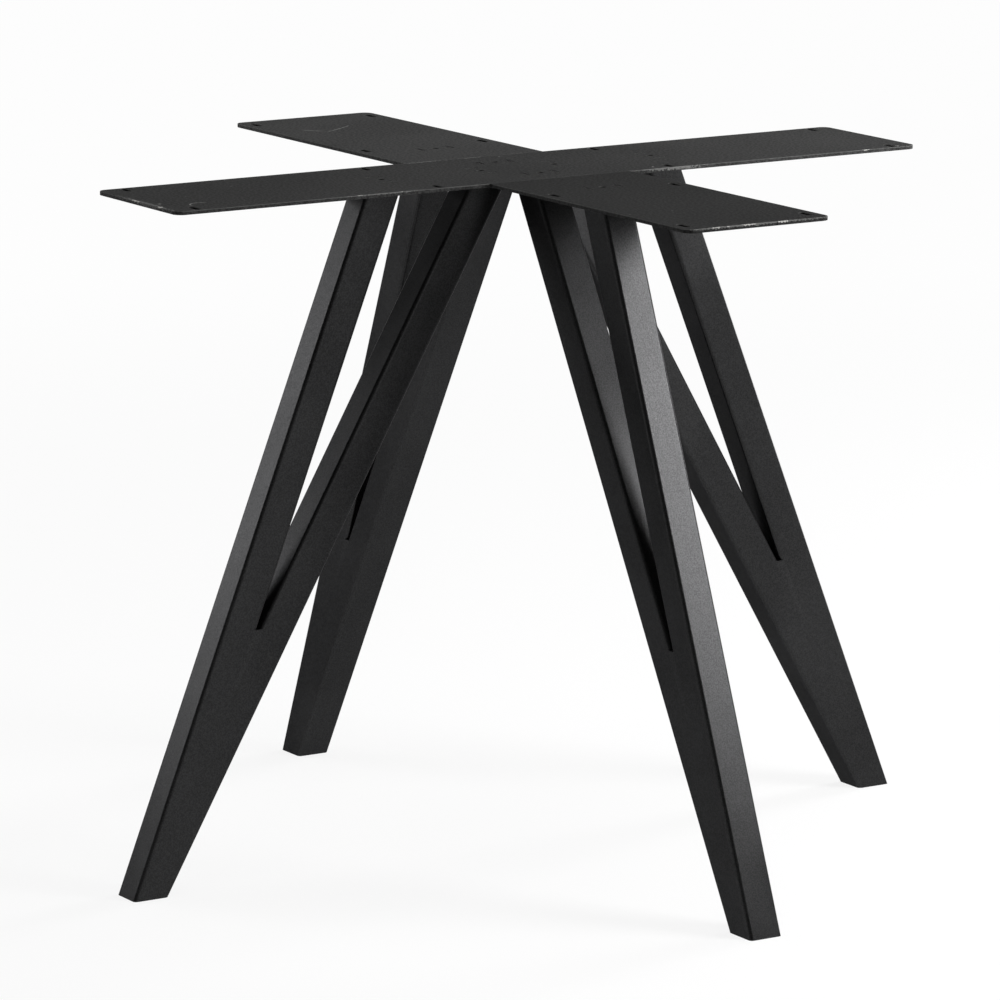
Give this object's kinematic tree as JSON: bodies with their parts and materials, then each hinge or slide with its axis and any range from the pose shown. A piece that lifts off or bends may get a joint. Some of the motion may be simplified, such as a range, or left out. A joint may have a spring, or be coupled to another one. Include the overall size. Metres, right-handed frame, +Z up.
{
  "type": "table base",
  "caption": "Welded steel table base: a flat cross of slotted plate strips on V-shaped square-tube legs that taper to small feet.",
  "frame": {"origin": "on the floor, under the middle of the cross of strips", "axes": "+Z up, Y along the long strip, X along the short strips and the screw slots"},
  "size_m": [0.944, 0.944, 0.72],
  "materials": {
    "plate_coat": "fine texture matt",
    "tube_coat": "fine texture satin",
    "weld_coat": "fine texture satin"
  },
  "bodies": {
    "root": {"long_strip": "plate_coat", "right_strip": "plate_coat", "right_seam_weld": "weld_coat", "left_strip": "plate_coat", "left_seam_weld": "weld_coat", "right_outer_tube": "tube_coat", "right_inner_tube": "tube_coat", "right_foot_plate": "tube_coat", "right_slot_weld": "weld_coat", "right_tube_welds": "weld_coat", "back_outer_tube": "tube_coat", "back_inner_tube": "tube_coat", "back_foot_plate": "tube_coat", "back_slot_weld": "weld_coat", "back_tube_welds": "weld_coat", "left_outer_tube": "tube_coat", "left_inner_tube": "tube_coat", "left_foot_plate": "tube_coat", "left_slot_weld": "weld_coat", "left_tube_welds": "weld_coat", "front_outer_tube": "tube_coat", "front_inner_tube": "tube_coat", "front_foot_plate": "tube_coat", "front_slot_weld": "weld_coat", "front_tube_welds": "weld_coat"}
  },
  "joints": []
}
